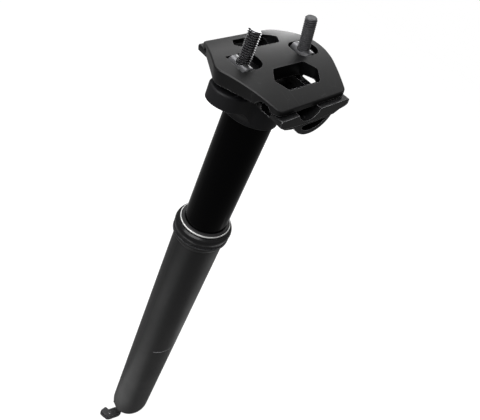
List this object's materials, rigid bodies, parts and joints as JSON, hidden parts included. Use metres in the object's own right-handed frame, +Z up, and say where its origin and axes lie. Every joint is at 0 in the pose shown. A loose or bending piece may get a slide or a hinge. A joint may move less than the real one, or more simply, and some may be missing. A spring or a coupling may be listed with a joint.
{
  "type": "dropper seatpost",
  "caption": "Height-adjusting bicycle seatpost with a sliding stanchion, wiper collar, tilting rail clamp and remote lever under its foot.",
  "frame": {"origin": "on the post's axis at the underside of the collar, where the insertable tube ends", "axes": "+Z up the post, +X towards the bicycle's front, +Y to the rider's left"},
  "size_m": [0.0664, 0.065, 0.4101],
  "materials": {
    "tube_finish": "satin black anodising",
    "collar_finish": "satin black anodising",
    "stanchion_finish": "gloss black hard anodising",
    "forging_finish": "matte black shot-blasted anodising",
    "plate_finish": "satin dark grey anodising",
    "seal_rubber": "matte black",
    "bright_steel": "bright",
    "black_steel": "black zinc",
    "grey_steel": "plain",
    "bushing_plastic": "dark grey",
    "oil_foam": "open foam",
    "key_brass": "plain",
    "plain_aluminium": "machined",
    "actuator_finish": "satin dark grey anodising"
  },
  "bodies": {
    "outer": {"outer_tube": "tube_finish", "collar_nut": "collar_finish", "wiper_seal": "seal_rubber", "wiper_ring": "bright_steel", "foam_ring": "oil_foam", "upper_bushing": "bushing_plastic", "base_plug": "plain_aluminium", "bottom_bumper": "seal_rubber", "cartridge_rod": "grey_steel", "cartridge_piston": "plain_aluminium", "actuator_bracket": "actuator_finish", "rod_nut": "grey_steel", "lever_pin": "grey_steel", "pin_clip": "grey_steel", "arm_screw": "black_steel"},
    "post": {"stanchion": "stanchion_finish", "head": "forging_finish", "cartridge_body": "plain_aluminium", "cartridge_gland": "plain_aluminium", "top_out_buffer": "seal_rubber", "stanchion_cap": "plain_aluminium", "lower_bushing": "bushing_plastic", "guide_keys": "key_brass"},
    "clamp": {"lower_cradle": "plate_finish", "top_plate": "plate_finish"},
    "front_swivel": {"front_washer": "grey_steel"},
    "rear_swivel": {"rear_washer": "grey_steel"},
    "front_screw": {"front_bolt": "black_steel"},
    "rear_screw": {"rear_bolt": "black_steel"},
    "front_barrel": {"front_nut": "grey_steel"},
    "rear_barrel": {"rear_nut": "grey_steel"},
    "lever": {"actuator_lever": "actuator_finish"},
    "pin": {"release_pin": "grey_steel"},
    "arm": {"stop_arm": "actuator_finish"}
  },
  "joints": [
    {"name": "post_slide", "type": "slide", "parent": "outer", "child": "post", "axis": [0, 0, 1], "range_m": [-0.075, 0], "stiffness_N_per_m": 20, "springref_m": 0.4},
    {"name": "clamp_tilt", "type": "hinge", "parent": "post", "child": "clamp", "pos_m": [-0.0034, 0, 0.1144], "axis": [0, 1, 0], "range_deg": [-10, 3]},
    {"name": "front_swing", "type": "hinge", "parent": "post", "child": "front_swivel", "pos_m": [0.01696, 0, 0.0985], "axis": [0, 1, 0], "range_deg": [-0.5, 0.2]},
    {"name": "rear_swing", "type": "hinge", "parent": "post", "child": "rear_swivel", "pos_m": [-0.02612, 0, 0.0985], "axis": [0, 1, 0], "range_deg": [-1.9, 0.6]},
    {"name": "front_screw_turn", "type": "hinge", "parent": "front_swivel", "child": "front_screw", "pos_m": [0.01696, 0, 0.0985], "axis": [0, 0, 1], "continuous": true},
    {"name": "rear_screw_turn", "type": "hinge", "parent": "rear_swivel", "child": "rear_screw", "pos_m": [-0.02612, 0, 0.0985], "axis": [0.2782, 0, 0.9605], "continuous": true},
    {"name": "front_barrel_turn", "type": "hinge", "parent": "clamp", "child": "front_barrel", "pos_m": [0.01696, 0, 0.11423], "axis": [0, 1, 0], "range_deg": [-3, 9.8]},
    {"name": "rear_barrel_turn", "type": "hinge", "parent": "clamp", "child": "rear_barrel", "pos_m": [-0.01858, 0, 0.12452], "axis": [0, 1, 0], "range_deg": [-2.6, 8.4]},
    {"name": "lever_pull", "type": "hinge", "parent": "outer", "child": "lever", "pos_m": [0.00257, -0.00381, -0.2506], "axis": [0.829, 0.5592, 0], "range_deg": [0, 24]},
    {"name": "release_pin_push", "type": "slide", "parent": "outer", "child": "pin", "axis": [0, 0, 1], "range_m": [0, 0.0015], "stiffness_N_per_m": 200, "springref_m": -0.005},
    {"name": "stop_swing", "type": "hinge", "parent": "outer", "child": "arm", "pos_m": [0.009, -0.0018, -0.2625], "axis": [0, 0, 1], "range_deg": [-105, 0]}
  ],
  "couplings": [
    {"joint": "front_swing", "follows": "clamp_tilt", "ratio": 0.04},
    {"joint": "rear_swing", "follows": "clamp_tilt", "ratio": 0.18},
    {"joint": "front_barrel_turn", "follows": "clamp_tilt", "ratio": -0.96},
    {"joint": "rear_barrel_turn", "follows": "clamp_tilt", "ratio": -0.82},
    {"joint": "lever_pull", "follows": "release_pin_push", "rad_per_m": 232.56}
  ]
}
